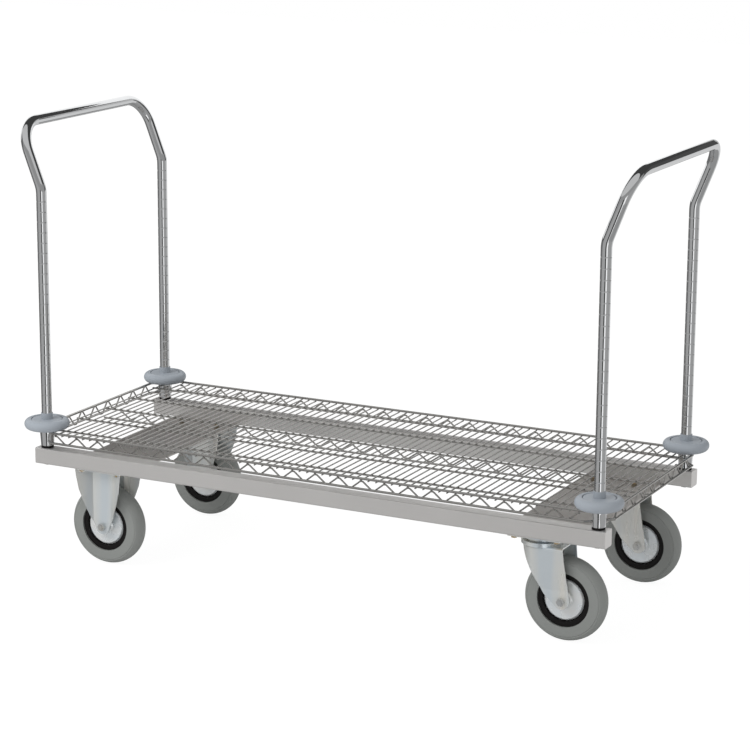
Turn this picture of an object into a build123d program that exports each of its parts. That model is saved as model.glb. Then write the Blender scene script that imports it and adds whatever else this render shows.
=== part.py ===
"""Transport trolley: wire deck on two square rails, a bent tube handle at each end,
a turning bumper ring on every post, two fixed and two swivel casters.

Millimetres. The origin is on the floor under the middle of the deck, +X points to the
swivel caster end, +Y to the back, +Z up. Every piece is a solid of its own.
"""

import os
from math import atan2, cos, radians, sin

from build123d import *

os.makedirs("parts", exist_ok=True)

# overruns and clearances
cut_extra = 2.0  # how far a cutter runs past the faces that it cuts
seat_gap = 0.05  # between pieces that are pressed, welded or clamped together
hole_gap = 0.4  # radial room of a bolt in its hole
run_gap = 0.08  # radial running fit of a turning piece on its shaft
free_gap = 0.5  # between faces that pass each other

# posts and handles: one bent tube at each end makes both posts and the push bar
post_spacing_x = 1470.0
post_spacing_y = 556.0
tube_d = 25.4
tube_wall = 1.5
post_rise = 648.0  # from the rails to the kink, where the posts start to lean outwards
bar_rise = 155.0  # from the kink to the middle of the push bar
bar_lean = 60.0  # how far the bar stands outside the posts
kink_radius = 70.0
bar_radius = 72.0

# rails and cross plates
rail_overhang = 24.0  # how far the rails reach past the posts
rail_size = 40.0
rail_wall = 1.5
rail_corner = 4.0
cap_thickness = 2.0
plate_width = 190.0
plate_thickness = 4.0
plate_shift = 8.0  # from the middle of the casters towards the end of the rails

# post feet
foot_d = 31.0
foot_height = 6.0
foot_floor = 3.0
foot_bolt_d = 10.0
foot_bolt_flats = 17.0
foot_bolt_head = 2.5
foot_bolt_rise = 30.0  # how far the bolt reaches up into the post
plug_height = 26.0
washer_d = 21.0
washer_thickness = 1.0

# shelf corner collars on split sleeves
collar_bottom_d = 32.0
collar_top_d = 36.0
collar_margin = 1.6  # how far the collar stands above the middle of the top edge wire
collar_band = 8.0  # straight part at its top, where the top edge wire is welded on
collar_bore_bottom_d = 29.4
collar_bore_top_d = 28.2
sleeve_slit = 1.0
sleeve_margin = 2.0

# wire deck
shelf_overhang_x = 27.0  # from the posts to the edge wires
shelf_overhang_y = 25.0
shelf_lift = 19.0  # from the rails to the lower edge wire
edge_wire_d = 6.0
snake_wire_d = 4.0
runner_wire_d = 5.0
cross_wire_d = 3.4
truss_depth = 25.4
cross_pitch = 20.15
cross_per_snake = 3
runner_short = 11.0
truss_low_short = 14.0

# bumpers
bumper_d = 112.0
bumper_height = 26.0
ring_room = 0.7  # from the top edge wire to the ring
hub_joint_d = 75.0
joint_gap = 1.0  # round the hub, where the ring turns
joint_ease = 1.2
hub_step = 5.0
hub_drop = 1.0
hub_foot_d = 34.0
sleeve_d = 29.0
sleeve_rise = 15.0

# casters
wheel_d = 200.0
tyre_width = 46.0
tyre_shoulder = 10.0
tyre_depth = 36.0  # from the tread in to the rim
crease_half = 2.0  # of the moulded crease between the tyre's side and its tread
crease_depth = 1.4
bead_gap = 1.0  # from the tyre to the rim's flange
rim_width = 38.0
rim_bead = 7.0  # from the flange in to the tyre's seat
rim_lip = 11.0  # from the edge of the flange to the recess of the discs
rim_web = 14.0
rim_hub_d = 34.0
disc_sheet = 1.2
disc_inset = 3.0
disc_dish = 4.0
disc_bore_d = 24.0
bearing_d = 22.0
axle_tube_d = 15.0
axle_d = 10.0
axle_flats = 17.0
axle_head = 6.4
axle_nut = 8.0
axle_out = 3.0
leg_room = 7.5  # from the tyre to each leg
leg_sheet = 3.0
leg_end_radius = 19.0
caster_inset = 152.0  # from the posts to the middle of the casters
caster_plate_x = 135.0
caster_plate_y = 105.0
caster_plate = 3.5
caster_plate_corner = 8.0
hole_margin_x = 15.0  # from the bolt holes to the edges of the plate
hole_margin_y = 12.5
plate_bolt_d = 8.0
plate_bolt_flats = 13.0
plate_bolt_head = 5.3
plate_nut = 6.5
bolt_spare = 3.0  # of the thread above the nut

# swivel head and fork
swivel_offset = 63.0
wheel_room = 24.0  # from the wheel to the crown
crown_d = 96.0
crown_tail = 66.0  # from the swivel axis to the square end of the crown
crown_lip = 6.0
hood_flare = 9.5  # how far the hood is wider than the legs on each side
hood_bend = 9.0
straight_rise = 25.0  # from the axle to where the legs start to flare
race_height = 9.0
race_step = 3.0
race_d = 82.0
race_bore_d = 60.0
race_chamfer = 2.0
ball_ring = 7.5
ball_ring_d = 76.0
ball_ring_bore_d = 62.0
pin_d = 16.0
pin_head_d = 28.0
pin_head = 5.0

# fixed fork
wing_margin = 3.5  # from the ends of the plate to the wings
panel_half = 25.0
notch_d = 18.0
notch_drop = 6.5

# sizes and positions that follow from the sizes above
post_x = post_spacing_x / 2
post_y = post_spacing_y / 2
leg_gap = tyre_width + 2 * leg_room
leg_outer = leg_gap / 2 + leg_sheet
axle_height = wheel_d / 2
tyre_bead_d = wheel_d - 2 * tyre_depth
rim_flange_d = tyre_bead_d - 2 * bead_gap
rim_d = rim_flange_d - 2 * rim_bead
rim_recess_d = rim_flange_d - 2 * rim_lip
disc_d = rim_recess_d - 2 * disc_inset
crown_height = wheel_d + wheel_room
crown_top = crown_height + leg_sheet
race_bottom = crown_top + ball_ring
head_bottom = race_bottom + race_height
caster_top = head_bottom + caster_plate
plate_hole_x = caster_plate_x - 2 * hole_margin_x
plate_hole_y = caster_plate_y - 2 * hole_margin_y
caster_x = post_x - caster_inset
caster_y = post_y - plate_hole_y / 2
wheel_right_x = caster_x + swivel_offset
plate_center = caster_x + plate_shift
rail_length = post_spacing_x + 2 * rail_overhang
rail_bottom = caster_top
rail_top = rail_bottom + rail_size
rail_mid = rail_bottom + rail_size / 2
post_bottom = rail_top + foot_floor
kink_height = rail_top + post_rise
bar_height = kink_height + bar_rise
edge_x = post_x + shelf_overhang_x
edge_y = post_y + shelf_overhang_y
edge_low_height = rail_top + shelf_lift
edge_top_height = edge_low_height + truss_depth
cross_height = edge_top_height - edge_wire_d / 2 - cross_wire_d / 2 - seat_gap
runner_height = cross_height - cross_wire_d / 2 - runner_wire_d / 2 - seat_gap
runner_low_height = runner_height - truss_depth
snake_pitch = cross_per_snake * cross_pitch
snake_inset = edge_wire_d / 2 + snake_wire_d / 2 + seat_gap
collar_bottom = rail_top + foot_height
collar_top = edge_top_height + collar_margin
collar_height = collar_top - collar_bottom
collar_taper = collar_height - collar_band
ring_bottom = edge_top_height + edge_wire_d / 2 + ring_room

post_spots = [(sx * post_x, sy * post_y) for sx in (-1, 1) for sy in (-1, 1)]
caster_spots = [(sx * caster_x, sy * caster_y) for sx in (-1, 1) for sy in (-1, 1)]
swivel_spots = {"rf": (caster_x, -caster_y), "rb": (caster_x, caster_y)}
fixed_spots = {"lf": (-caster_x, -caster_y), "lb": (-caster_x, caster_y)}
wheel_spots = {
    "lf": (-caster_x, -caster_y),
    "lb": (-caster_x, caster_y),
    "rf": (wheel_right_x, -caster_y),
    "rb": (wheel_right_x, caster_y),
}


def save(piece, name):
    """Label a finished piece and write it under its own name."""
    piece.label = name
    export_step(piece, "parts/" + name + ".step")


def at(piece, x, y, z=0):
    """A copy of a piece that was modelled at the origin, moved to its place."""
    return piece.moved(Location((x, y, z)))


def group(pieces):
    """Several separate solids as one node."""
    return Compound(children=pieces)


# rails: square tubes with a cap at each end
def make_rail(y):
    outer_bolts = [(x + dx * plate_hole_x / 2, y) for x in (-caster_x, caster_x) for dx in (-1, 1)]
    with BuildPart() as rail:
        with BuildSketch(Plane.YZ.offset(cap_thickness - rail_length / 2)):
            with Locations((y, rail_mid)):
                RectangleRounded(rail_size, rail_size, rail_corner)
                inner = rail_size - 2 * rail_wall
                RectangleRounded(inner, inner, rail_corner - rail_wall, mode=Mode.SUBTRACT)
        extrude(amount=rail_length - 2 * cap_thickness)
        with BuildSketch(Plane.XY.offset(rail_bottom - cut_extra)):
            with Locations(*outer_bolts):
                Circle(plate_bolt_d / 2 + hole_gap)
        extrude(amount=rail_size / 2, mode=Mode.SUBTRACT)
        with BuildSketch(Plane.XY.offset(rail_bottom - cut_extra)):
            with Locations((-post_x, y), (post_x, y)):
                Circle(foot_bolt_d / 2 + hole_gap)
        extrude(amount=rail_size + 2 * cut_extra, mode=Mode.SUBTRACT)
    return rail.part


save(make_rail(-post_y), "rail_front")
save(make_rail(post_y), "rail_back")

with BuildPart() as rail_caps:
    for plane_x in (-rail_length / 2, rail_length / 2 - cap_thickness):
        with BuildSketch(Plane.YZ.offset(plane_x)):
            with Locations((-post_y, rail_mid), (post_y, rail_mid)):
                RectangleRounded(rail_size, rail_size, rail_corner)
        extrude(amount=cap_thickness)
save(rail_caps.part, "rail_end_caps")


# cross plates: they close the gap between the rails where the casters are bolted on
def make_cross_plate(x, bolts_x):
    inner_bolts = [(bolts_x + dx * plate_hole_x / 2, sy * (caster_y - plate_hole_y / 2))
                   for dx in (-1, 1) for sy in (-1, 1)]
    with BuildPart() as plate:
        with BuildSketch(Plane.XY.offset(rail_bottom)):
            with Locations((x, 0)):
                Rectangle(plate_width, post_spacing_y - rail_size)
            with Locations(*inner_bolts):
                Circle(plate_bolt_d / 2 + hole_gap, mode=Mode.SUBTRACT)
        extrude(amount=plate_thickness)
    return plate.part


save(make_cross_plate(-plate_center, -caster_x), "cross_plate_left")
save(make_cross_plate(plate_center, caster_x), "cross_plate_right")


# bolts and nuts, modelled at the origin with the head under Z 0
def make_bolt(shank_d, length, flats, head):
    with BuildPart() as bolt:
        with BuildSketch(Plane.XY.offset(-head)):
            RegularPolygon(flats / 2, 6, major_radius=False)
        extrude(amount=head)
        with BuildSketch(Plane.XY):
            Circle(shank_d / 2)
        extrude(amount=length)
    return bolt.part


def make_nut(bore_d, flats, height):
    with BuildPart() as nut:
        with BuildSketch(Plane.XY):
            RegularPolygon(flats / 2, 6, major_radius=False)
            Circle(bore_d / 2 + seat_gap, mode=Mode.SUBTRACT)
        extrude(amount=height)
    return nut.part


def make_washer(bore_d, outer_d, thickness):
    with BuildPart() as washer:
        with BuildSketch(Plane.XY):
            Circle(outer_d / 2)
            Circle(bore_d / 2, mode=Mode.SUBTRACT)
        extrude(amount=thickness)
    return washer.part


inner_stack = caster_plate + plate_thickness
outer_stack = caster_plate + rail_wall
bolts = []
nuts = []
for cx, cy in caster_spots:
    side = 1 if cy > 0 else -1
    for dx in (-1, 1):
        for dy, stack in ((side, outer_stack), (-side, inner_stack)):
            bx = cx + dx * plate_hole_x / 2
            by = cy + dy * plate_hole_y / 2
            bolt = make_bolt(plate_bolt_d, stack + plate_nut + bolt_spare, plate_bolt_flats, plate_bolt_head)
            bolts.append(at(bolt, bx, by, head_bottom))
            nuts.append(at(make_nut(plate_bolt_d, plate_bolt_flats, plate_nut), bx, by, head_bottom + stack))
save(group(bolts), "caster_bolts")
save(group(nuts), "caster_nuts")

# post feet: washer and bolt under the rail, black foot ring on it, plug inside the post
foot_bolt_length = washer_thickness + rail_size + foot_floor + foot_bolt_rise
foot_bolt = make_bolt(foot_bolt_d, foot_bolt_length, foot_bolt_flats, foot_bolt_head)
foot_washer = make_washer(foot_bolt_d + 2 * hole_gap, washer_d, washer_thickness)
save(group([at(foot_bolt, x, y, rail_bottom - washer_thickness) for x, y in post_spots]), "post_bolts")
save(group([at(foot_washer, x, y, rail_bottom - washer_thickness) for x, y in post_spots]), "post_washers")

with BuildPart() as foot_ring:
    with BuildSketch(Plane.XY):
        Circle(foot_d / 2)
    extrude(amount=foot_height)
    with BuildSketch(Plane.XY.offset(foot_floor)):
        Circle(tube_d / 2 + seat_gap)
    extrude(amount=foot_height, mode=Mode.SUBTRACT)
    with BuildSketch(Plane.XY.offset(-cut_extra)):
        Circle(foot_bolt_d / 2 + hole_gap)
    extrude(amount=foot_height, mode=Mode.SUBTRACT)
save(group([at(foot_ring.part, x, y, rail_top) for x, y in post_spots]), "foot_rings")

post_plug = make_washer(foot_bolt_d + 2 * seat_gap, tube_d - 2 * tube_wall - 2 * seat_gap, plug_height)
save(group([at(post_plug, x, y, post_bottom) for x, y in post_spots]), "post_plugs")


# handles: the push bar between two ends, each a bend, the leaning tube, the kink and a post
def draw_tube_end(x):
    with Locations((x, bar_height)):
        Circle(tube_d / 2)
        Circle(tube_d / 2 - tube_wall, mode=Mode.SUBTRACT)


def make_handle(side):
    x = side * post_x
    bar_x = side * (post_x + bar_lean)
    bar_half = post_y - bar_radius
    lean = Vector(x - bar_x, 0, kink_height - bar_height).normalized()
    across = Vector(0, 1, 0)
    bend_start = Vector(bar_x, bar_half, bar_height)
    bend_centre = bend_start + lean * bar_radius
    bend_middle = bend_centre + (across - lean).normalized() * bar_radius
    bend_end = bend_centre + across * bar_radius
    with BuildPart() as handle:
        with BuildLine() as route:
            ThreePointArc(bend_start, bend_middle, bend_end)
            FilletPolyline(bend_end, (x, post_y, kink_height), (x, post_y, post_bottom), radius=kink_radius)
        with BuildSketch(Plane.XZ.offset(-bar_half)):
            draw_tube_end(bar_x)
        sweep(path=route.wire())
        mirror(about=Plane.XZ)
        with BuildSketch(Plane.XZ.offset(-bar_half)):
            draw_tube_end(bar_x)
        extrude(amount=2 * bar_half)
    return handle.part


save(make_handle(-1), "handle_left")
save(make_handle(1), "handle_right")

# corner collars: tapered outside up to a straight band, and stepped inside where they rest on
# a sleeve in two halves
sleeve_rest = collar_height / 2
with BuildPart() as collar:
    with BuildSketch(Plane.XZ):
        Polygon(
            (collar_bore_bottom_d / 2, 0),
            (collar_bottom_d / 2, 0),
            (collar_top_d / 2, collar_taper),
            (collar_top_d / 2, collar_height),
            (collar_bore_top_d / 2, collar_height),
            (collar_bore_top_d / 2, sleeve_rest),
            (collar_bore_bottom_d / 2, sleeve_rest),
            align=None,
        )
    revolve(axis=Axis.Z)
save(group([at(collar.part, x, y, collar_bottom) for x, y in post_spots]), "corner_collars")

with BuildPart() as split_sleeve:
    with BuildSketch(Plane.XZ):
        Polygon(
            (tube_d / 2 + seat_gap, 0),
            (collar_bore_bottom_d / 2 - seat_gap, 0),
            (collar_bore_bottom_d / 2 - seat_gap, sleeve_rest - seat_gap),
            (collar_bore_top_d / 2 - seat_gap, sleeve_rest - seat_gap),
            (collar_bore_top_d / 2 - seat_gap, collar_height - sleeve_margin),
            (tube_d / 2 + seat_gap, collar_height - sleeve_margin),
            align=None,
        )
    revolve(axis=Axis.Z)
    with BuildSketch(Plane.XY.offset(-cut_extra)):
        Rectangle(collar_bottom_d, sleeve_slit)
    extrude(amount=collar_height + 2 * cut_extra, mode=Mode.SUBTRACT)
sleeve_halves = [at(half, x, y, collar_bottom) for x, y in post_spots for half in split_sleeve.part.solids()]
save(group(sleeve_halves), "split_sleeves")


# wire deck
def make_wire(points, wire_d, sides=0):
    """A wire with mitred corners along a line of points, round or with flat sides."""
    start = Vector(points[0])
    onward = Vector(points[1]) - start
    with BuildPart() as wire:
        with BuildLine() as route:
            Polyline(*points)
        with BuildSketch(Plane(origin=start, z_dir=onward)):
            if sides:
                RegularPolygon(wire_d / 2, sides)
            else:
                Circle(wire_d / 2)
        sweep(path=route.wire(), transition=Transition.RIGHT)
    return wire.part


def collar_radius(height):
    rise_share = min((height - collar_bottom) / collar_taper, 1)
    return (collar_bottom_d + rise_share * (collar_top_d - collar_bottom_d)) / 2


bend_x = post_x - (edge_y - post_y)
bend_y = post_y - (edge_x - post_x)
edge_wires = []
for height in (edge_low_height, edge_top_height):
    reach = (collar_radius(height + edge_wire_d / 2) + seat_gap) * cos(radians(45))
    for side in (-1, 1):
        y = side * edge_y
        long_points = [
            (-post_x + reach, side * (post_y + reach), height),
            (-bend_x, y, height),
            (bend_x, y, height),
            (post_x - reach, side * (post_y + reach), height),
        ]
        x = side * edge_x
        short_points = [
            (side * (post_x + reach), -post_y + reach, height),
            (x, -bend_y, height),
            (x, bend_y, height),
            (side * (post_x + reach), post_y - reach, height),
        ]
        edge_wires += [make_wire(long_points, edge_wire_d), make_wire(short_points, edge_wire_d)]
save(group(edge_wires), "edge_wires")


def snake_points(half_pitches, low, high):
    """Turning points of a snake wire as (place along it, height), low in the middle."""
    points = []
    for step in range(-half_pitches, half_pitches + 1):
        points.append((step * snake_pitch / 2, low if step % 2 == 0 else high))
    return points


snake_sides = 6
snake_slope = atan2(truss_depth, snake_pitch / 2)
knot_reach = snake_wire_d / 2 / cos(snake_slope) + seat_gap
long_half_pitches = int(bend_x // (snake_pitch / 2))
short_half_pitches = int(bend_y // (snake_pitch / 2))
long_high = cross_height - cross_wire_d / 2 - knot_reach
snakes = []
for side in (-1, 1):
    y = side * (edge_y - snake_inset)
    points = [(s, y, h) for s, h in snake_points(long_half_pitches, edge_low_height, long_high)]
    snakes.append(make_wire(points, snake_wire_d, snake_sides))
    x = side * (edge_x - snake_inset)
    points = [(x, s, h) for s, h in snake_points(short_half_pitches, edge_low_height, edge_top_height)]
    snakes.append(make_wire(points, snake_wire_d, snake_sides))
save(group(snakes), "edge_snakes")

runner_end = edge_x - runner_short
runner_spacing = 2 * snake_pitch
runner_y = [row * runner_spacing for row in range(1, 1 + int(edge_y // runner_spacing))]
with BuildPart() as runner_wires:
    with BuildSketch(Plane.YZ.offset(-runner_end)):
        with Locations(*[(side * y, runner_height) for y in runner_y for side in (-1, 1)]):
            Circle(runner_wire_d / 2)
    extrude(amount=2 * runner_end)
save(runner_wires.part, "runner_wires")

truss_end = edge_x - truss_low_short
with BuildPart() as truss_wires:
    with BuildSketch(Plane.YZ.offset(-truss_end)):
        with Locations((0, runner_height), (0, runner_low_height)):
            Circle(runner_wire_d / 2)
    extrude(amount=2 * truss_end)
save(truss_wires.part, "truss_wires")

truss_inset = runner_wire_d / 2 + knot_reach
truss_points = [(s, 0, h) for s, h in
                snake_points(long_half_pitches, runner_low_height + truss_inset, runner_height - truss_inset)]
save(make_wire(truss_points, snake_wire_d, snake_sides), "truss_snake")

# cross wires: full length between the collars, short where a collar is in the way
cross_half = edge_y + cross_wire_d / 2
short_half = post_y - collar_top_d / 2 - free_gap
clear_of_collar = post_x - collar_top_d / 2 - cross_wire_d / 2 - free_gap
cross_count = int((runner_end - cross_wire_d / 2) // cross_pitch)
with BuildPart() as cross_wires:
    for number in range(cross_count):
        offset_x = (number + 1 / 2) * cross_pitch
        half = cross_half if offset_x < clear_of_collar else short_half
        with BuildSketch(Plane.XZ.offset(-half)):
            with Locations((-offset_x, cross_height), (offset_x, cross_height)):
                Circle(cross_wire_d / 2)
        extrude(amount=2 * half)
save(cross_wires.part, "cross_wires")

# bumpers: a hub fixed on the post, a ring that turns on it, a small sleeve above
ring_mid = ring_bottom + bumper_height / 2
hub_r = hub_joint_d / 2
ring_lip = bumper_height / 2 - hub_drop

with BuildPart() as bumper_ring:
    with BuildSketch(Plane.XZ):
        with BuildLine():
            inner_r = hub_r + joint_gap
            round_r = bumper_height / 2
            outer_r = bumper_d / 2 - round_r
            RadiusArc((outer_r, -round_r), (outer_r, round_r), -round_r)
            Polyline(
                (outer_r, round_r),
                (inner_r + joint_ease, round_r),
                (inner_r, round_r - joint_ease),
                (inner_r, hub_step),
                (inner_r - hub_step, 0),
                (inner_r, -hub_step),
                (inner_r, -round_r),
                (outer_r, -round_r),
            )
        make_face()
    revolve(axis=Axis.Z)
for name, (x, y) in zip(("lf", "lb", "rf", "rb"), post_spots):
    save(at(bumper_ring.part, x, y, ring_mid), "bumper_ring_" + name)

with BuildPart() as bumper_hub:
    with BuildSketch(Plane.XZ):
        Polygon(
            (tube_d / 2 + seat_gap, collar_top + seat_gap - ring_mid),
            (hub_foot_d / 2, collar_top + seat_gap - ring_mid),
            (hub_foot_d / 2, -ring_lip),
            (hub_r, -ring_lip),
            (hub_r, -hub_step),
            (hub_r - hub_step, 0),
            (hub_r, hub_step),
            (hub_r, ring_lip - joint_ease),
            (hub_r - joint_ease, ring_lip),
            (tube_d / 2 + seat_gap, ring_lip),
            align=None,
        )
    revolve(axis=Axis.Z)
save(group([at(bumper_hub.part, x, y, ring_mid) for x, y in post_spots]), "bumper_hubs")

bumper_sleeve = make_washer(tube_d + 2 * seat_gap, sleeve_d, sleeve_rise)
sleeve_z = ring_mid + ring_lip + seat_gap
save(group([at(bumper_sleeve, x, y, sleeve_z) for x, y in post_spots]), "bumper_sleeves")

# wheels, modelled about the Y axis through the origin
with BuildPart() as tyre:
    with BuildSketch(Plane.XY):
        with BuildLine():
            bead_r = rim_d / 2 + seat_gap
            side_r = tyre_bead_d / 2
            wall_r = wheel_d / 2 - tyre_shoulder
            half = tyre_width / 2
            tread_half = half - crease_depth / 2
            bead_half = rim_width / 2 - disc_inset
            ThreePointArc((wall_r, -tread_half), (wheel_d / 2, 0), (wall_r, tread_half))
            Polyline(
                (wall_r, tread_half),
                (wall_r - crease_half, half - crease_depth),
                (wall_r - 2 * crease_half, half),
                (side_r, half),
                (side_r, bead_half),
                (bead_r, bead_half),
                (bead_r, -bead_half),
                (side_r, -bead_half),
                (side_r, -half),
                (wall_r - 2 * crease_half, -half),
                (wall_r - crease_half, crease_depth - half),
                (wall_r, -tread_half),
            )
        make_face()
    revolve(axis=Axis.Y)

with BuildPart() as rim:
    with BuildSketch(Plane.XY):
        half = rim_width / 2
        bead_half = half - disc_inset
        flange_r = rim_flange_d / 2
        drop_r = rim_d / 2
        web_r = rim_recess_d / 2
        with BuildLine():
            Polyline(
                (bearing_d / 2, -half),
                (rim_hub_d / 2, -half),
                (rim_hub_d / 2, -rim_web / 2),
                (web_r - disc_inset, -rim_web / 2),
                (web_r, -half),
                (flange_r, -half),
                (flange_r, -bead_half - seat_gap),
                (drop_r, -bead_half - seat_gap),
                (drop_r, bead_half + seat_gap),
                (flange_r, bead_half + seat_gap),
                (flange_r, half),
                (web_r, half),
                (web_r - disc_inset, rim_web / 2),
                (rim_hub_d / 2, rim_web / 2),
                (rim_hub_d / 2, half),
                (bearing_d / 2, half),
                (bearing_d / 2, -half),
            )
        make_face()
    revolve(axis=Axis.Y)

disc_face = rim_width / 2 - disc_inset
with BuildPart() as wheel_disc:
    with BuildSketch(Plane.XY):
        Polygon(
            (disc_d / 2, disc_face - disc_dish),
            (disc_d / 2, disc_face - disc_dish + disc_sheet),
            (disc_d / 2 - disc_dish, disc_face + disc_sheet),
            (rim_hub_d / 2 + disc_dish, disc_face + disc_sheet),
            (rim_hub_d / 2, rim_width / 2 + seat_gap + disc_sheet),
            (disc_bore_d / 2, rim_width / 2 + seat_gap + disc_sheet),
            (disc_bore_d / 2, rim_width / 2 + seat_gap),
            (rim_hub_d / 2, rim_width / 2 + seat_gap),
            (rim_hub_d / 2 + disc_dish, disc_face),
            (disc_d / 2 - disc_dish, disc_face),
            align=None,
        )
    revolve(axis=Axis.Y)

with BuildPart() as bearing:
    with BuildSketch(Plane.XY):
        Polygon(
            (axle_tube_d / 2 + run_gap, -rim_width / 2),
            (bearing_d / 2 - seat_gap, -rim_width / 2),
            (bearing_d / 2 - seat_gap, rim_width / 2),
            (axle_tube_d / 2 + run_gap, rim_width / 2),
            align=None,
        )
    revolve(axis=Axis.Y)

mirrored_disc = mirror(wheel_disc.part, about=Plane.XZ)
for name, (x, y) in wheel_spots.items():
    save(at(tyre.part, x, y, axle_height), "tyre_" + name)
    save(at(rim.part, x, y, axle_height), "rim_" + name)
    metal = [at(piece, x, y, axle_height) for piece in (wheel_disc.part, mirrored_disc, bearing.part)]
    save(group(metal), "wheel_discs_" + name)

# axle of one wheel: tube between the legs, bolt through it, nut on the front side
with BuildPart() as axle_tube:
    with BuildSketch(Plane.XZ.offset(-(leg_gap / 2 - seat_gap))):
        Circle(axle_tube_d / 2)
        Circle(axle_d / 2 + seat_gap, mode=Mode.SUBTRACT)
    extrude(amount=leg_gap - 2 * seat_gap)

with BuildPart() as axle_bolt:
    with BuildSketch(Plane.XZ.offset(-(leg_outer + seat_gap))):
        RegularPolygon(axle_flats / 2, 6, major_radius=False)
    extrude(amount=-axle_head)
    with BuildSketch(Plane.XZ.offset(-(leg_outer + seat_gap))):
        Circle(axle_d / 2)
    extrude(amount=2 * leg_outer + 2 * seat_gap + axle_nut + axle_out)

with BuildPart() as axle_nut_piece:
    with BuildSketch(Plane.XZ.offset(leg_outer + seat_gap)):
        RegularPolygon(axle_flats / 2, 6, major_radius=False)
        Circle(axle_d / 2 + seat_gap, mode=Mode.SUBTRACT)
    extrude(amount=axle_nut)

axle_pieces = {"axle_tube": axle_tube.part, "axle_bolt": axle_bolt.part, "axle_nut": axle_nut_piece.part}
for piece_name, piece in axle_pieces.items():
    fixed_pair = [at(piece, x, y, axle_height) for x, y in fixed_spots.values()]
    save(group(fixed_pair), piece_name + "s_left")
    for name, (x, y) in swivel_spots.items():
        save(at(piece, x + swivel_offset, y, axle_height), piece_name + "_" + name)

# fixed fork: one pressed sheet, a plate with two legs whose wings spread towards its corners
leg_drop = head_bottom - axle_height
wing_half = caster_plate_x / 2 - wing_margin
wing_spread = caster_plate_y / 2 - leg_outer
wing_shares = [(1.0, 1.0), (0.98, 0.9), (0.89, 0.65), (0.77, 0.48), (0.53, 0.19), (0.3, 0.0)]
wing_side = [(wing_half * w, axle_height + leg_drop * h) for w, h in wing_shares]
with BuildPart() as fixed_fork:
    with BuildSketch(Plane.XY.offset(head_bottom)):
        for side in (-1, 1):
            inner = side * leg_gap / 2
            outer = side * leg_outer
            spread = side * wing_spread
            Polygon(
                (-wing_half, inner + spread),
                (-panel_half, inner),
                (panel_half, inner),
                (wing_half, inner + spread),
                (wing_half, outer + spread),
                (panel_half, outer),
                (-panel_half, outer),
                (-wing_half, outer + spread),
                align=None,
            )
    extrude(amount=-(leg_drop + leg_end_radius))
    with BuildSketch(Plane.XZ):
        Polygon(*wing_side, *[(-x, z) for x, z in reversed(wing_side)], align=None)
        with Locations((0, axle_height)):
            Circle(leg_end_radius)
    extrude(amount=caster_plate_y, both=True, mode=Mode.INTERSECT)
    with BuildSketch(Plane.XY.offset(head_bottom)):
        with GridLocations(plate_hole_x, plate_hole_y, 2, 2):
            Circle(notch_d / 2)
    extrude(amount=-notch_drop, mode=Mode.SUBTRACT)
    with BuildSketch(Plane.XY.offset(head_bottom)):
        RectangleRounded(caster_plate_x, caster_plate_y, caster_plate_corner)
        with GridLocations(plate_hole_x, plate_hole_y, 2, 2):
            Circle(plate_bolt_d / 2 + hole_gap, mode=Mode.SUBTRACT)
    extrude(amount=caster_plate)
    with BuildSketch(Plane.XZ):
        with Locations((0, axle_height)):
            Circle(axle_d / 2 + hole_gap)
    extrude(amount=caster_plate_y, both=True, mode=Mode.SUBTRACT)
for name, (x, y) in fixed_spots.items():
    save(at(fixed_fork.part, x, y), "fixed_fork_" + name)

# swivel head: plate, upper race and king pin stay with the frame
with BuildPart() as swivel_plate:
    with BuildSketch(Plane.XY.offset(head_bottom)):
        RectangleRounded(caster_plate_x, caster_plate_y, caster_plate_corner)
        Circle(pin_d / 2 + seat_gap, mode=Mode.SUBTRACT)
        with GridLocations(plate_hole_x, plate_hole_y, 2, 2):
            Circle(plate_bolt_d / 2 + hole_gap, mode=Mode.SUBTRACT)
    extrude(amount=caster_plate)

race_top = head_bottom - seat_gap
with BuildPart() as swivel_race:
    with BuildSketch(Plane.XZ):
        Polygon(
            (race_bore_d / 2, race_bottom),
            (race_d / 2 - race_chamfer, race_bottom),
            (race_d / 2, race_bottom + race_chamfer),
            (race_d / 2, race_top - race_step),
            (race_d / 2 + race_step, race_top - race_step),
            (race_d / 2 + race_step, race_top),
            (race_bore_d / 2, race_top),
            align=None,
        )
    revolve(axis=Axis.Z)

with BuildPart() as king_pin:
    with BuildSketch(Plane.XY.offset(crown_height - free_gap - pin_head)):
        Circle(pin_head_d / 2)
    extrude(amount=pin_head)
    with BuildSketch(Plane.XY.offset(crown_height - free_gap)):
        Circle(pin_d / 2)
    extrude(amount=caster_top - crown_height)

with BuildPart() as balls:
    with BuildSketch(Plane.XY.offset(crown_top + seat_gap)):
        Circle(ball_ring_d / 2)
        Circle(ball_ring_bore_d / 2, mode=Mode.SUBTRACT)
    extrude(amount=ball_ring - seat_gap - free_gap)

save(group([at(swivel_plate.part, x, y) for x, y in swivel_spots.values()]), "swivel_plates")
save(group([at(swivel_race.part, x, y) for x, y in swivel_spots.values()]), "swivel_races")
save(group([at(king_pin.part, x, y) for x, y in swivel_spots.values()]), "king_pins")

# swivel fork: a pressed hood, round in front and straight behind, trimmed to two raked legs
hood_top_half = leg_outer + hood_flare
hood_straight = axle_height + straight_rise
leg_bottom = axle_height - leg_end_radius
bend_half = hood_top_half - hood_bend
bend_height = crown_top - hood_bend

# one half of the hood's section: the top, the bend, the flare and the straight leg
with BuildLine() as hood_half:
    Line((0, crown_height), (bend_half, crown_height))
    CenterArc((bend_half, bend_height), hood_bend - leg_sheet, 0, 90)
    Polyline(
        (hood_top_half - leg_sheet, bend_height),
        (leg_gap / 2, hood_straight),
        (leg_gap / 2, leg_bottom),
        (leg_outer, leg_bottom),
        (leg_outer, hood_straight),
        (hood_top_half, bend_height),
    )
    CenterArc((bend_half, bend_height), hood_bend, 0, 90)
    Polyline((bend_half, crown_top), (0, crown_top), (0, crown_height))

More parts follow.
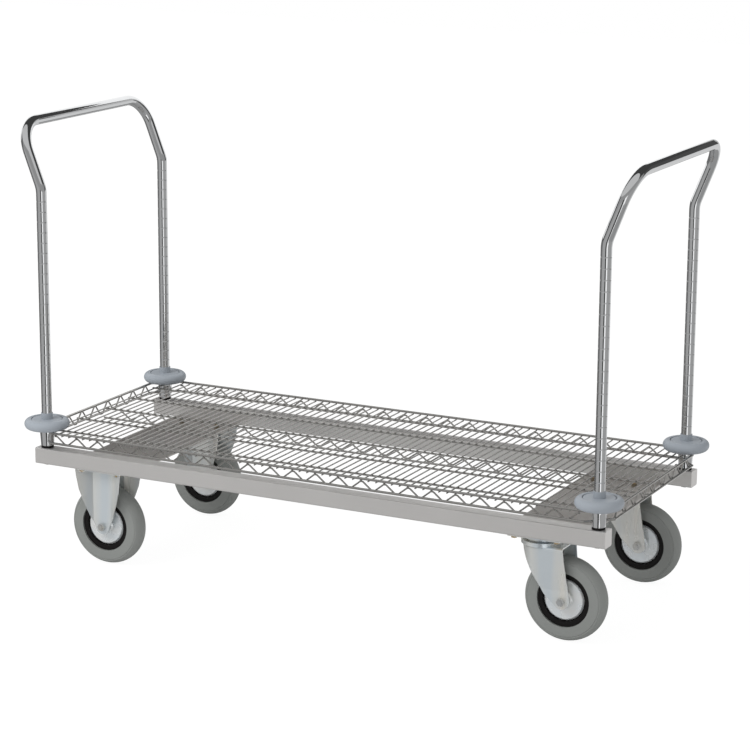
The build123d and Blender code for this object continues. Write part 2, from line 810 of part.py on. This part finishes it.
front_shares = [(-1.0, 1.0), (-0.84, 0.87), (-0.63, 0.71), (-0.23, 0.47), (0.23, 0.23), (0.47, 0.1)]
hood_drop = crown_top - axle_height
front_edge = [(hood_top_half * x, axle_height + hood_drop * z) for x, z in front_shares]
with BuildPart() as swivel_fork:
    with BuildSketch(Plane.XZ):
        make_face(hood_half.edges())
    revolve(axis=Axis.Z)
    with BuildSketch(Plane.YZ):
        Rectangle(wheel_d, 2 * crown_top)
    extrude(amount=wheel_d, mode=Mode.SUBTRACT)
    with BuildSketch(Plane.YZ):
        make_face(hood_half.edges())
        mirror(about=Plane.YZ)
    extrude(amount=swivel_offset + leg_end_radius)
    with BuildSketch(Plane.XZ):
        Polygon(
            *front_edge,
            (swivel_offset - leg_end_radius * cos(radians(55)), axle_height - leg_end_radius * sin(radians(55))),
            (swivel_offset, axle_height),
            (swivel_offset + leg_end_radius, axle_height),
            (crown_tail, crown_top),
            align=None,
        )
        with Locations((swivel_offset, axle_height)):
            Circle(leg_end_radius)
    extrude(amount=caster_plate_y, both=True, mode=Mode.INTERSECT)
    with BuildSketch(Plane.XY.offset(crown_height)):
        Circle(crown_d / 2)
    extrude(amount=leg_sheet)
    with BuildSketch(Plane.XY.offset(crown_top)):
        Circle(crown_d / 2)
        Circle(crown_d / 2 - leg_sheet, mode=Mode.SUBTRACT)
    extrude(amount=crown_lip)
    with BuildSketch(Plane.XY):
        Circle(pin_d / 2 + run_gap)
    extrude(amount=caster_top, mode=Mode.SUBTRACT)
    with BuildSketch(Plane.XZ):
        with Locations((swivel_offset, axle_height)):
            Circle(axle_d / 2 + hole_gap)
    extrude(amount=caster_plate_y, both=True, mode=Mode.SUBTRACT)

for name, (x, y) in swivel_spots.items():
    save(at(swivel_fork.part, x, y), "swivel_fork_" + name)
    save(at(balls.part, x, y), "ball_ring_" + name)
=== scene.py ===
# %% [markdown]
# # A transport trolley, dressed for the camera
# The solids of the trolley come from CAD, in metres, already in place.
# This lesson gives them their finishes, replaces the pieces whose finish needs a finer
# surface than the solids have, and builds the small studio in which chrome looks like chrome.

# %% Load the frame
from math import cos, pi, radians, sin

import bpy
import numpy as np
from mathutils import Matrix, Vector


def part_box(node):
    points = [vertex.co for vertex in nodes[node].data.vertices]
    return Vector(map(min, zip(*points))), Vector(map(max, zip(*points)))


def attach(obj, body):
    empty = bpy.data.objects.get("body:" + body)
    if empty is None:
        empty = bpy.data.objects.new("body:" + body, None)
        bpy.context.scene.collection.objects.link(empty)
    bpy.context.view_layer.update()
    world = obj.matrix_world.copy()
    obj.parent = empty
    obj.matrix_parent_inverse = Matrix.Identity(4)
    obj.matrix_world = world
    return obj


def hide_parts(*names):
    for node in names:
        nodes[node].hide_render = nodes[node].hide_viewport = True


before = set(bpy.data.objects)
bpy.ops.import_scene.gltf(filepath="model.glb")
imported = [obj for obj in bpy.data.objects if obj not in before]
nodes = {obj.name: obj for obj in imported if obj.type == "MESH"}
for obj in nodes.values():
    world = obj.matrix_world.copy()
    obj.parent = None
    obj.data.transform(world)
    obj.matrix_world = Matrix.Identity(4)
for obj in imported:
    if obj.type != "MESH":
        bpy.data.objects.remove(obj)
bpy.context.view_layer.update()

corner_names = ("lf", "lb", "rf", "rb")

# %% [markdown]
# ## The camera
# The photograph was taken from the front right with a long lens, a little above the push
# bars. The place and the angles were fitted to points of known size on the trolley.
# The camera is set first, because every later choice is judged through it.

# %% Camera
photo_px = 750
focal_px = 2526.4
camera_place = (2.7228, -5.3117, 1.9428)
camera_yaw = radians(26.852)
camera_drop = radians(13.626)
camera_roll = radians(0.355)
sensor_mm = 36.0
view_depth = 60.0

camera_data = bpy.data.cameras.new("photo_camera")
camera_data.sensor_width = sensor_mm
camera_data.lens = sensor_mm * focal_px / photo_px
camera_data.clip_end = view_depth
camera = bpy.data.objects.new("photo_camera", camera_data)
turn = Matrix.Rotation(camera_yaw, 4, "Z")
tilt = Matrix.Rotation(pi / 2 - camera_drop, 4, "X")
roll = Matrix.Rotation(camera_roll, 4, "Z")
camera.matrix_world = Matrix.Translation(camera_place) @ turn @ tilt @ roll
bpy.context.scene.collection.objects.link(camera)
bpy.context.scene.camera = camera
bpy.context.scene.view_settings.view_transform = "Standard"
print("lens", round(camera_data.lens, 1), "mm")

# %% [markdown]
# ## Writing shader maths as sums
# A finish is easier to read as a formula than as a web of nodes. One small class wraps a
# socket, so that `noise * 0.3 + 0.5` adds the Math nodes by itself. A second class holds one
# material and makes any other node from its type, its settings and its inputs.


# %% Sockets that add up
class Signal:
    """An output socket of a finish. Sums and products of signals add Math nodes."""

    def __init__(self, finish, socket):
        self.finish = finish
        self.socket = socket

    def math(self, operation, first, second):
        return self.finish.node("ShaderNodeMath", {"operation": operation}, {0: first, 1: second})

    def __add__(self, other):
        return self.math("ADD", self, other)

    def __sub__(self, other):
        return self.math("SUBTRACT", self, other)

    def __rsub__(self, other):
        return self.math("SUBTRACT", other, self)

    def __mul__(self, other):
        return self.math("MULTIPLY", self, other)

    def clamped(self):
        return self.finish.node("ShaderNodeClamp", {}, {"Value": self})

    __radd__ = __add__
    __rmul__ = __mul__


# %% Finishes
class Finish:
    """One material or world with its node tree."""

    def __init__(self, owner):
        owner.use_nodes = True
        self.owner = owner
        self.tree = owner.node_tree
        self.tree.nodes.clear()

    def node(self, kind, settings, inputs, output=0):
        """Add a node of one kind, with its settings first, then the values or links of its inputs."""
        made = self.tree.nodes.new(kind)
        for name, value in settings.items():
            setattr(made, name, value)
        for name, value in inputs.items():
            if isinstance(value, Signal):
                self.tree.links.new(value.socket, made.inputs[name])
            else:
                made.inputs[name].default_value = value
        if not made.outputs:
            return None
        return Signal(self, made.outputs[output])

    def place(self):
        return self.node("ShaderNodeTexCoord", {}, {}, "Object")

    def ray(self, kind):
        return self.node("ShaderNodeLightPath", {}, {}, kind)

    def noise(self, scale, detail, stretch=(1.0, 1.0, 1.0)):
        """Noise between 0 and 1, with its pattern squeezed by stretch along X, Y and Z."""
        spot = self.node("ShaderNodeMapping", {}, {"Vector": self.place(), "Scale": stretch})
        return self.node("ShaderNodeTexNoise", {}, {"Vector": spot, "Scale": scale, "Detail": detail})

    def mix(self, factor, first, second):
        return self.node("ShaderNodeMix", {"data_type": "RGBA"}, {0: factor, 6: first, 7: second}, 2)

    def bump(self, height, strength, distance):
        inputs = {"Height": height, "Strength": strength, "Distance": distance}
        return self.node("ShaderNodeBump", {}, inputs)

    def glow(self, tone, strength):
        """A grey light of its own."""
        inputs = {"Color": (tone, tone, tone, 1.0), "Strength": strength}
        return self.node("ShaderNodeEmission", {}, inputs)

    def show(self, shader):
        """Let the material show a shader."""
        self.node("ShaderNodeOutputMaterial", {}, {"Surface": shader})
        return self.owner

    def surface(self, **sockets):
        inputs = {name.replace("_", " "): value for name, value in sockets.items()}
        return self.show(self.node("ShaderNodeBsdfPrincipled", {}, inputs))


# %% Putting finishes on the solids
def new_finish(name):
    return Finish(bpy.data.materials.new(name))


def opaque(shade, gain=1.0):
    """A shade times a gain, held at white, with full alpha."""
    return tuple(min(c * gain, 1.0) for c in shade) + (1.0,)


def dress(names, material):
    """Put a material on the slots of CAD nodes."""
    for name in names:
        slots = nodes[name].material_slots
        if not slots:
            nodes[name].data.materials.append(material)
        for slot in slots:
            slot.material = material
    print(material.name, "on", len(names), "nodes")


# %% [markdown]
# ## Satin stainless for the rails and cross plates
# The rails are drawn stainless tube with a fine grain along their length. Noise that is
# squeezed hard along X gives the grain, and a slow noise makes faint clouds. The metal is
# a warm grey, half matt, so it shows the light of the room but no picture of it.

# %% Rails and plates
grain_share = 0.3
grain_squeeze = 0.02
steel_gloss = 0.26
steel_gloss_spread = 0.08


def satin_steel(name, shade, grain_stretch):
    """Tone = grain share x grain + the rest x clouds, from a darker to a lighter shade."""
    finish = new_finish(name)
    grain = finish.noise(scale=420.0, detail=3.0, stretch=grain_stretch)
    clouds = finish.noise(scale=5.0, detail=2.0)
    tone = (grain * grain_share + clouds * (1 - grain_share)).clamped()
    return finish.surface(
        Base_Color=finish.mix(tone, opaque(shade, gain=0.90), opaque(shade, gain=1.06)),
        Metallic=0.7,
        Roughness=grain * steel_gloss_spread + steel_gloss,
    )


rail_steel = satin_steel("rail_steel", (0.72, 0.705, 0.69), (grain_squeeze, 1.0, 1.0))
dress(["rail_front", "rail_back", "rail_end_caps"], rail_steel)
plate_steel = satin_steel("plate_steel", (0.44, 0.42, 0.40), (1.0, grain_squeeze, 1.0))
dress(["cross_plate_left", "cross_plate_right"], plate_steel)

# %% [markdown]
# ## Zinc on the pressed forks
# Bright zinc is a bluish silver with pale yellowish clouds. A noise that is drawn out upwards
# chooses between the two tints and gives upright bands, lighter and warmer in places and darker
# and cooler in others, and the coating scatters some light besides mirroring the room.

# %% Zinc and yellow zinc
band_contrast = 2.6
band_start = 0.8
zinc_gloss_spread = 0.12
relief_depth = 0.004


def zinc(name, cool, warm, gloss, metal, upright=1.0, relief=0.05):
    """Tint = contrast x bands - start, held between 0 for the cool and 1 for the warm shade."""
    finish = new_finish(name)
    bands = finish.noise(scale=30.0, detail=1.0, stretch=(1.0, 1.0, upright))
    tone = (bands * band_contrast - band_start).clamped()
    return finish.surface(
        Base_Color=finish.mix(tone, opaque(cool), opaque(warm)),
        Metallic=metal,
        Roughness=bands * zinc_gloss_spread + gloss,
        Normal=finish.bump(bands, relief, relief_depth),
    )


fork_zinc = zinc(
    "fork_zinc", (0.72, 0.78, 0.82), (0.88, 0.86, 0.80),
    gloss=0.20, metal=0.65, upright=0.08, relief=0.2,
)
disc_zinc = zinc("disc_zinc", (0.80, 0.85, 0.88), (0.86, 0.87, 0.86), gloss=0.22, metal=0.55)
bolt_zinc = zinc("bolt_zinc", (0.66, 0.68, 0.70), (0.72, 0.71, 0.66), gloss=0.14, metal=0.9)
yellow_zinc = zinc("yellow_zinc", (0.66, 0.50, 0.26), (0.72, 0.56, 0.38), gloss=0.2, metal=0.9)
# The caster nuts get a darker copy of the yellow zinc: painted shade for the shadow they sit in under
# the deck.
shaded_yellow_zinc = zinc("shaded_yellow_zinc", (0.30, 0.26, 0.19), (0.36, 0.31, 0.24), gloss=0.3, metal=0.9)

dress(
    ["fixed_fork_lf", "fixed_fork_lb", "swivel_fork_rf", "swivel_fork_rb", "swivel_plates",
     "swivel_races", "ball_ring_rf", "ball_ring_rb", "king_pins"],
    fork_zinc,
)
dress(["wheel_discs_" + c for c in corner_names], disc_zinc)
dress(
    ["axle_bolts_left", "axle_nuts_left", "axle_tubes_left", "axle_bolt_rf", "axle_bolt_rb",
     "axle_nut_rf", "axle_nut_rb", "axle_tube_rf", "axle_tube_rb", "post_bolts", "post_washers"],
    bolt_zinc,
)
dress(["caster_bolts"], yellow_zinc)
dress(["caster_nuts"], shaded_yellow_zinc)

# %% [markdown]
# ## Chrome
# Chrome is nearly a mirror, so its own colour hardly varies. What makes it real is a slight
# softness that changes from place to place, and the studio that it shows. The wires get a
# darker copy of the chrome, which is painted shade for the dark room that they mirror.

# %% Chrome
haze_gloss = 0.05


def chrome(name, shade, gloss):
    """A full metal whose haze darkens its shade a little and softens its mirror."""
    finish = new_finish(name)
    haze = finish.noise(scale=60.0, detail=3.0)
    return finish.surface(
        Base_Color=finish.mix(haze, opaque(shade, gain=0.94), opaque(shade)),
        Metallic=1.0,
        Roughness=haze * haze_gloss + gloss,
    )


tube_chrome = chrome("tube_chrome", (0.86, 0.87, 0.88), gloss=0.03)
dress(["handle_left", "handle_right", "corner_collars"], tube_chrome)
# Painted shade: the wire chrome is darker than the tube chrome, standing for the dark room above the
# deck that the wires mirror.
shaded_wire_chrome = chrome("shaded_wire_chrome", (0.54, 0.53, 0.51), gloss=0.05)
wire_names = ["edge_wires", "edge_snakes", "runner_wires", "truss_wires", "truss_snake", "cross_wires"]
dress(wire_names, shaded_wire_chrome)

# %% [markdown]
# ## Grey bumper plastic, black plastic and tyre rubber
# The bumpers are moulded in a blue-grey plastic with a low sheen. The rims and foot rings
# are black. The tyres are grey rubber with a greenish cast and a fine dusty grain.

# %% Plastics and rubber
plastic_gloss_spread = 0.08
grain_strength = 0.2
fine_grain = 0.00005
dusty_grain = 0.0002


def plastic(name, shade, gloss, grain_depth, shine=0.5):
    """A plain shade with slow clouds in tint and gloss, and a fine grain in its relief."""
    finish = new_finish(name)
    grain = finish.noise(scale=900.0, detail=2.0)
    clouds = finish.noise(scale=14.0, detail=2.0)
    return finish.surface(
        Base_Color=finish.mix(clouds, opaque(shade, gain=0.93), opaque(shade)),
        Roughness=clouds * plastic_gloss_spread + gloss,
        Specular_IOR_Level=shine,
        Normal=finish.bump(grain, grain_strength, grain_depth),
    )


bumper_grey = plastic("bumper_grey", (0.31, 0.34, 0.375), 0.38, fine_grain)
dress(["bumper_ring_" + c for c in corner_names] + ["bumper_hubs", "bumper_sleeves"], bumper_grey)
black_plastic = plastic("black_plastic", (0.008, 0.007, 0.007), 0.45, fine_grain, shine=0.2)
dress(["rim_" + c for c in corner_names] + ["foot_rings", "post_plugs", "split_sleeves"], black_plastic)
tyre_rubber = plastic("tyre_rubber", (0.225, 0.235, 0.225), 0.5, dusty_grain)
dress(["tyre_" + c for c in corner_names], tyre_rubber)

# %% [markdown]
# ## Tubes and wires as swept surfaces
# A bent tube is a circle carried along a line of straight runs and tangent arcs. The line
# comes from its corners and bend radii. The circle's radius may change along the line,
# which is how the ring grooves of the posts are cut.


# %% A route with rounded corners
def unit(rows):
    """Each row divided by its length."""
    return rows / np.linalg.norm(rows, axis=-1, keepdims=True)


def rounded_route(corners, radii, steps):
    """Straight runs joined by arcs. The arc at a corner is
    centre + (a sin((1-t)w) + b sin(tw)) / sin(w), with a and b the spokes to its two
    tangent points, w the angle between them and t from 0 to 1."""
    corners = np.array(corners, dtype=float)
    stretches = [corners[:1]]
    share = np.linspace(0.0, 1.0, steps)[:, None]
    for before, corner, after, radius in zip(corners, corners[1:], corners[2:], radii):
        back = unit(before - corner)
        onward = unit(after - corner)
        half = np.arccos(back @ onward) / 2
        centre = corner + unit(back + onward) * radius / np.sin(half)
        spoke_a = corner + back * radius / np.tan(half) - centre
        spoke_b = corner + onward * radius / np.tan(half) - centre
        swing = pi - 2 * half
        arc = (spoke_a * np.sin((1 - share) * swing) + spoke_b * np.sin(share * swing)) / np.sin(swing)
        stretches.append(centre + arc)
    stretches.append(corners[-1:])
    return np.concatenate(stretches)


# %% A tube along a route
def tube_points(spine, radius, side_axis, around):
    """The grid spine(s) + radius(s) (p cos u + q sin u), with p and q square to the run of
    the spine."""
    run = unit(np.gradient(spine, axis=0))
    p = unit(np.cross(run, np.array(side_axis, dtype=float)))
    q = np.cross(run, p)
    u = np.linspace(0.0, 2 * pi, around, endpoint=False)[None, :, None]
    ring = p[:, None, :] * np.cos(u) + q[:, None, :] * np.sin(u)
    return spine[:, None, :] + np.broadcast_to(radius, len(spine))[:, None, None] * ring


def grid_mesh(name, grids):
    """One mesh of several grids of points. In each grid the rows run along a piece and the
    columns round it, so corner (r, c) is joined to (r, c+1), (r+1, c+1) and (r+1, c), with
    c+1 wrapped. The first and the last row are closed with a flat face."""
    starts = np.cumsum([0] + [grid.shape[0] * grid.shape[1] for grid in grids])
    quads = []
    ends = []
    for grid, start in zip(grids, starts):
        here = start + np.arange(grid.shape[0] * grid.shape[1]).reshape(grid.shape[:2])
        beside = np.roll(here, -1, axis=1)
        quads.append(np.stack([here[:-1], beside[:-1], beside[1:], here[1:]], axis=-1).reshape(-1, 4))
        ends += [here[0, ::-1].tolist(), here[-1].tolist()]
    sides = np.concatenate(quads).tolist()
    mesh = bpy.data.meshes.new(name)
    mesh.from_pydata(np.concatenate([grid.reshape(-1, 3) for grid in grids]).tolist(), [], sides + ends)
    mesh.polygons.foreach_set("use_smooth", [True] * len(sides) + [False] * len(ends))
    mesh.validate()
    return mesh


def new_piece(name, grids, material, slot, *stands_for):
    """Put a finished surface on the frame in place of the CAD nodes that it stands for."""
    mesh = grid_mesh(name, grids)
    mesh.materials.append(material)
    piece = bpy.data.objects.new(name, mesh)
    bpy.context.scene.collection.objects.link(piece)
    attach(piece, "frame")
    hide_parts(*stands_for)
    print(name, len(mesh.polygons), "faces")


# %% [markdown]
# ## The two handles
# Each handle is one bent tube: two posts with ring grooves every inch, a kink, and the push
# bar. The places come from the boxes of the solids, so the surface lies where the solid does.
# A groove is a narrow dip of the radius, with its own rows of points.

# %% Ring grooves
inch = 0.0254
groove_half = 0.0010
groove_wall = groove_half / 2
groove_depth = 0.0005
groove_top = 0.904
groove_rows = np.array([-1.5, -1.0, -0.45, 0.45, 1.0, 1.5]) * groove_half


def grooved_heights(low, high):
    """Heights of the rings on a straight post: six for each groove, and both ends. The outer
    two keep the plain bands between the grooves straight under smooth shading."""
    middles = np.arange(groove_top, low + inch, -inch)
    return np.unique(np.concatenate([[low, high], (middles[:, None] + groove_rows).ravel()]))


def dip(z):
    """1 at the floor of a groove and 0 outside it."""
    off = np.abs((z - groove_top + inch / 2) % inch - inch / 2)
    return np.clip((groove_half - off) / groove_wall, 0, 1)


# %% Handles with grooved posts
tube_radius = inch / 2
tube_sides = 40
kink_height = 0.935
kink_bend = 0.070
bar_bend = 0.072
bend_steps = 14


def make_handle(side_name, side):
    """The line goes up one post, through the kink and both bends of the bar, and down again."""
    low, high = (np.array(corner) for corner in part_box("handle_" + side_name))
    bar_x = side * (max(abs(low[0]), abs(high[0])) - tube_radius)
    post_x = side * (min(abs(low[0]), abs(high[0])) + tube_radius)
    post_y = high[1] - tube_radius
    bar_z = high[2] - tube_radius
    heights = grooved_heights(low[2], kink_height - 2 * tube_radius)
    post_top = heights[-1]
    bend = rounded_route(
        [(post_x, -post_y, post_top), (post_x, -post_y, kink_height), (bar_x, -post_y, bar_z),
         (bar_x, post_y, bar_z), (post_x, post_y, kink_height), (post_x, post_y, post_top)],
        [kink_bend, bar_bend, bar_bend, kink_bend], bend_steps,
    )
    post = np.zeros((len(heights) - 1, 3))
    post[:, 0] = post_x
    post[:, 1] = -post_y
    post[:, 2] = heights[:-1]
    spine = np.concatenate([post, bend, post[::-1] * (1, -1, 1)])
    radius = tube_radius - groove_depth * dip(spine[:, 2]) * (spine[:, 2] <= post_top)
    lean = (bar_z - kink_height, 0.0, post_x - bar_x)
    grid = tube_points(spine, radius, lean, tube_sides)
    new_piece("grooved_handle_" + side_name, [grid], tube_chrome, "chrome_tube", "handle_" + side_name)


make_handle("left", -1)
make_handle("right", 1)

# %% [markdown]
# ## Snake wires of the deck
# Between the two edge wires of each side runs a wire that is bent up and down. Its knots are
# rounded, with a short flat where it is welded. The same formula makes the truss under the
# middle of the deck.

# %% The line and the surface of a snake wire
cross_pitch = 0.02015
snake_pitch = 3 * cross_pitch
snake_radius = 0.002
snake_sides = 12
knot_bend = 0.0035
knot_steps = 4
low_flat = 0.005
high_flat = 0.003


def snake_route(half_pitches, low, high):
    """Corners of the wire as (place along it, height), two at each knot, low in the middle."""
    steps = np.arange(-half_pitches, half_pitches + 1)
    is_low = steps % 2 == 0
    flat = np.where(is_low, low_flat, high_flat)
    along = (steps * snake_pitch / 2)[:, None] + flat[:, None] * np.array([-1.0, 1.0])
    height = np.repeat(np.where(is_low, low, high), 2)
    corners = np.stack([along.ravel(), height], axis=1)
    return rounded_route(corners, [knot_bend] * (len(corners) - 2), knot_steps)


def snake_points(half_pitches, low, high, across, along_x):
    """The surface of one snake wire that runs along X or Y at its place across."""
    route = snake_route(half_pitches, low, high)
    spine = np.zeros((len(route), 3))
    spine[:, 0 if along_x else 1] = route[:, 0]
    spine[:, 1 if along_x else 0] = across
    spine[:, 2] = route[:, 1]
    return tube_points(spine, snake_radius, (0, 1, 0) if along_x else (1, 0, 0), snake_sides)


# %% The snakes of the edges and of the truss
snake_low, snake_high = (np.array(corner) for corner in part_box("edge_snakes"))
truss_low, truss_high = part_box("truss_snake")
long_half_pitches = int(truss_high[0] // (snake_pitch / 2))
short_half_pitches = 8
knot_low = snake_low[2] + snake_radius
knot_high = snake_high[2] - snake_radius
long_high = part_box("cross_wires")[0][2] - snake_radius
long_y = snake_high[1] - snake_radius
short_x = snake_high[0] - snake_radius
edge_grids = []
for side in (-1, 1):
    edge_grids.append(snake_points(long_half_pitches, knot_low, long_high, side * long_y, True))
    edge_grids.append(snake_points(short_half_pitches, knot_low, knot_high, side * short_x, False))
new_piece("rounded_edge_snakes", edge_grids, shaded_wire_chrome, "chrome_wire", "edge_snakes")
truss_knots = (truss_low[2] + snake_radius, truss_high[2] - snake_radius)
truss_grid = snake_points(long_half_pitches, *truss_knots, 0.0, True)
new_piece("rounded_truss_snake", [truss_grid], shaded_wire_chrome, "chrome_wire", "truss_snake")

# %% [markdown]
# ## The studio
# The world is plain white to the camera and to the metals that mirror it, and a soft light to
# everything else. Chrome has no look of its own, so a photographer stands grey and black flags
# round it. An upright tube mirrors the whole turn of the room once, from edge to edge, so the
# flags are panels of a round wall, measured by their angle from the camera, and the open gap
# between two of them is the white line on each post. The wall reaches below the floor, because
# a camera that looks down sees the lower part of the room in an upright tube. Above them the
# room is dark behind the trolley and light over the camera, which is what the ring grooves
# of the posts catch as fine lines. The push bars and the cross wires mirror what stands high
# behind the trolley. A white card and a lower grey one end there on the right, so the left bar
# is light, the right one is half dark, and each wire gets a thin light line.

# %% The world
soft_light = (0.85, 0.85, 0.85)
white = (1.0, 1.0, 1.0)
world = bpy.data.worlds.new("studio")
bpy.context.scene.world = world
studio = Finish(world)
seen_straight = studio.ray("Is Camera Ray")
seen_in_metal = studio.ray("Is Glossy Ray")
seen_through = studio.ray("Is Transmission Ray")
sees_white = (seen_straight + seen_in_metal + seen_through).clamped()
open_light = studio.mix(sees_white, opaque(soft_light), opaque(white))
backdrop = studio.node("ShaderNodeBackground", {}, {"Color": open_light, "Strength": 1.0})
studio.node("ShaderNodeOutputWorld", {}, {"Surface": backdrop})


# %% Sheets of the studio
def stage_sheet(name, points, faces, material):
    """A sheet of the studio, which is no part of the trolley."""
    mesh = bpy.data.meshes.new(name)
    mesh.from_pydata(points, [], faces)
    mesh.materials.append(material)
    sheet = bpy.data.objects.new(name, mesh)
    bpy.context.scene.collection.objects.link(sheet)
    return sheet


def mirror_sheet(name, points, faces, tone):
    """A sheet with a plain glow that lights nothing, because only mirrors see it."""
    paint = new_finish("paint_" + name)
    material = paint.show(paint.glow(tone, strength=1.0))
    material.cycles.emission_sampling = "NONE"
    sheet = stage_sheet(name, points, faces, material)
    sheet.visible_camera = False
    sheet.visible_diffuse = False
    sheet.visible_shadow = False


def level_points(left, right, front, back, height):
    """The four corners of a level sheet."""
    return [(left, front, height), (right, front, height), (right, back, height), (left, back, height)]


# %% The round wall of flags
wall_radius = 10.0
wall_columns = 12
flag_low = -5.0
flag_high = 0.6
wall_high = 4.5
flags = {
    "far_left": (-180, -89, flag_low, flag_high, 0.15),
    "left": (-89, -23, flag_low, flag_high, 0.38),
    "black": (-23, -1, flag_low, flag_high, 0.04),
    "right": (23, 106, flag_low, flag_high, 0.35),
    "far_right": (106, 180, flag_low, flag_high, 0.66),
    "upper_back": (90, 270, flag_high, wall_high, 0.07),
    "upper_front": (-90, 90, flag_high, wall_high, 0.30),
}
foot_points = wall_columns + 1
panel_faces = [(c, c + 1, c + 1 + foot_points, c + foot_points) for c in range(wall_columns)]


def wall_points(from_degrees, to_degrees, low, high):
    """The grid (radius sin a, -radius cos a, z), with a the angle from the camera plus its yaw."""
    angles = camera_yaw + np.radians(np.linspace(from_degrees, to_degrees, foot_points))
    x = wall_radius * np.sin(angles)
    y = -wall_radius * np.cos(angles)
    foot = np.stack([x, y, np.full(foot_points, low)], axis=1)
    return np.concatenate([foot, foot + (0.0, 0.0, high - low)])


for flag_name, (*span, tone) in flags.items():
    mirror_sheet("flag_" + flag_name, wall_points(*span), panel_faces, tone)
print(len(flags), "flags")

# %% Ceiling, ground and cards
one_face = [(0, 1, 2, 3)]
level_sheets = {
    "dark_ceiling": (0.0, wall_radius, wall_high, 0.05),
    "light_ceiling": (-wall_radius, 0.0, wall_high, 0.55),
    "ground": (-wall_radius, wall_radius, flag_low, 0.30),
}
for sheet_name, (front, back, height, tone) in level_sheets.items():
    points = level_points(-wall_radius, wall_radius, front, back, height)
    mirror_sheet(sheet_name, points, one_face, tone)


def behind(right, back, height):
    """A point so far to the right of the trolley's middle and behind it, as the camera sees it."""
    x = right * cos(camera_yaw) - back * sin(camera_yaw)
    y = right * sin(camera_yaw) + back * cos(camera_yaw)
    return (x, y, height)


card_back = 1.8
card_low = 0.95
cards = {"white_card": (-3.5, 1.2, 2.2, 1.0), "grey_card": (1.2, 2.1, 1.75, 0.5)}
for card_name, (card_left, card_right, card_high, tone) in cards.items():
    points = [
        behind(card_left, card_back, card_low), behind(card_right, card_back, card_low),
        behind(card_right, card_back, card_high), behind(card_left, card_back, card_high),
    ]
    mirror_sheet(card_name, points, one_face, tone)
print(len(level_sheets), "level sheets and", len(cards), "cards")

# %% [markdown]
# ## Floor and lamp
# The floor is white to the camera, like the backdrop behind it, and keeps a weak part of the
# shadow. One large soft lamp from the front left shapes the plastics and the forks.

# %% Floor
floor_reach = 12.0
floor_shade = (0.9, 0.9, 0.9)
floor_glow = 1.05
glow_share = 0.9
floor_paint = new_finish("floor_paint")
lit = floor_paint.node("ShaderNodeBsdfDiffuse", {}, {"Color": opaque(floor_shade)})
glow = floor_paint.glow(1.0, strength=floor_glow)
seen_glow = floor_paint.ray("Is Camera Ray") * glow_share
paint = floor_paint.node("ShaderNodeMixShader", {}, {0: seen_glow, 1: lit, 2: glow})
floor_points = level_points(-floor_reach, floor_reach, -floor_reach, floor_reach, 0.0)
floor = stage_sheet("floor", floor_points, one_face, floor_paint.show(paint))
floor.visible_glossy = False

# %% Lamp
lamp_place = (-2.2, -2.6, 3.2)
lamp_turn = radians(-40)
lamp_lean = radians(45)
lamp_data = bpy.data.lights.new("soft_lamp", "AREA")
lamp_data.shape = "RECTANGLE"
lamp_data.size = 2.0
lamp_data.size_y = 1.6
lamp_data.energy = 90.0
lamp = bpy.data.objects.new("soft_lamp", lamp_data)
aim = Matrix.Rotation(lamp_turn, 4, "Z") @ Matrix.Rotation(lamp_lean, 4, "X")
lamp.matrix_world = Matrix.Translation(lamp_place) @ aim
lamp.visible_glossy = False
bpy.context.scene.collection.objects.link(lamp)
print("lamp", lamp_data.energy, "W")
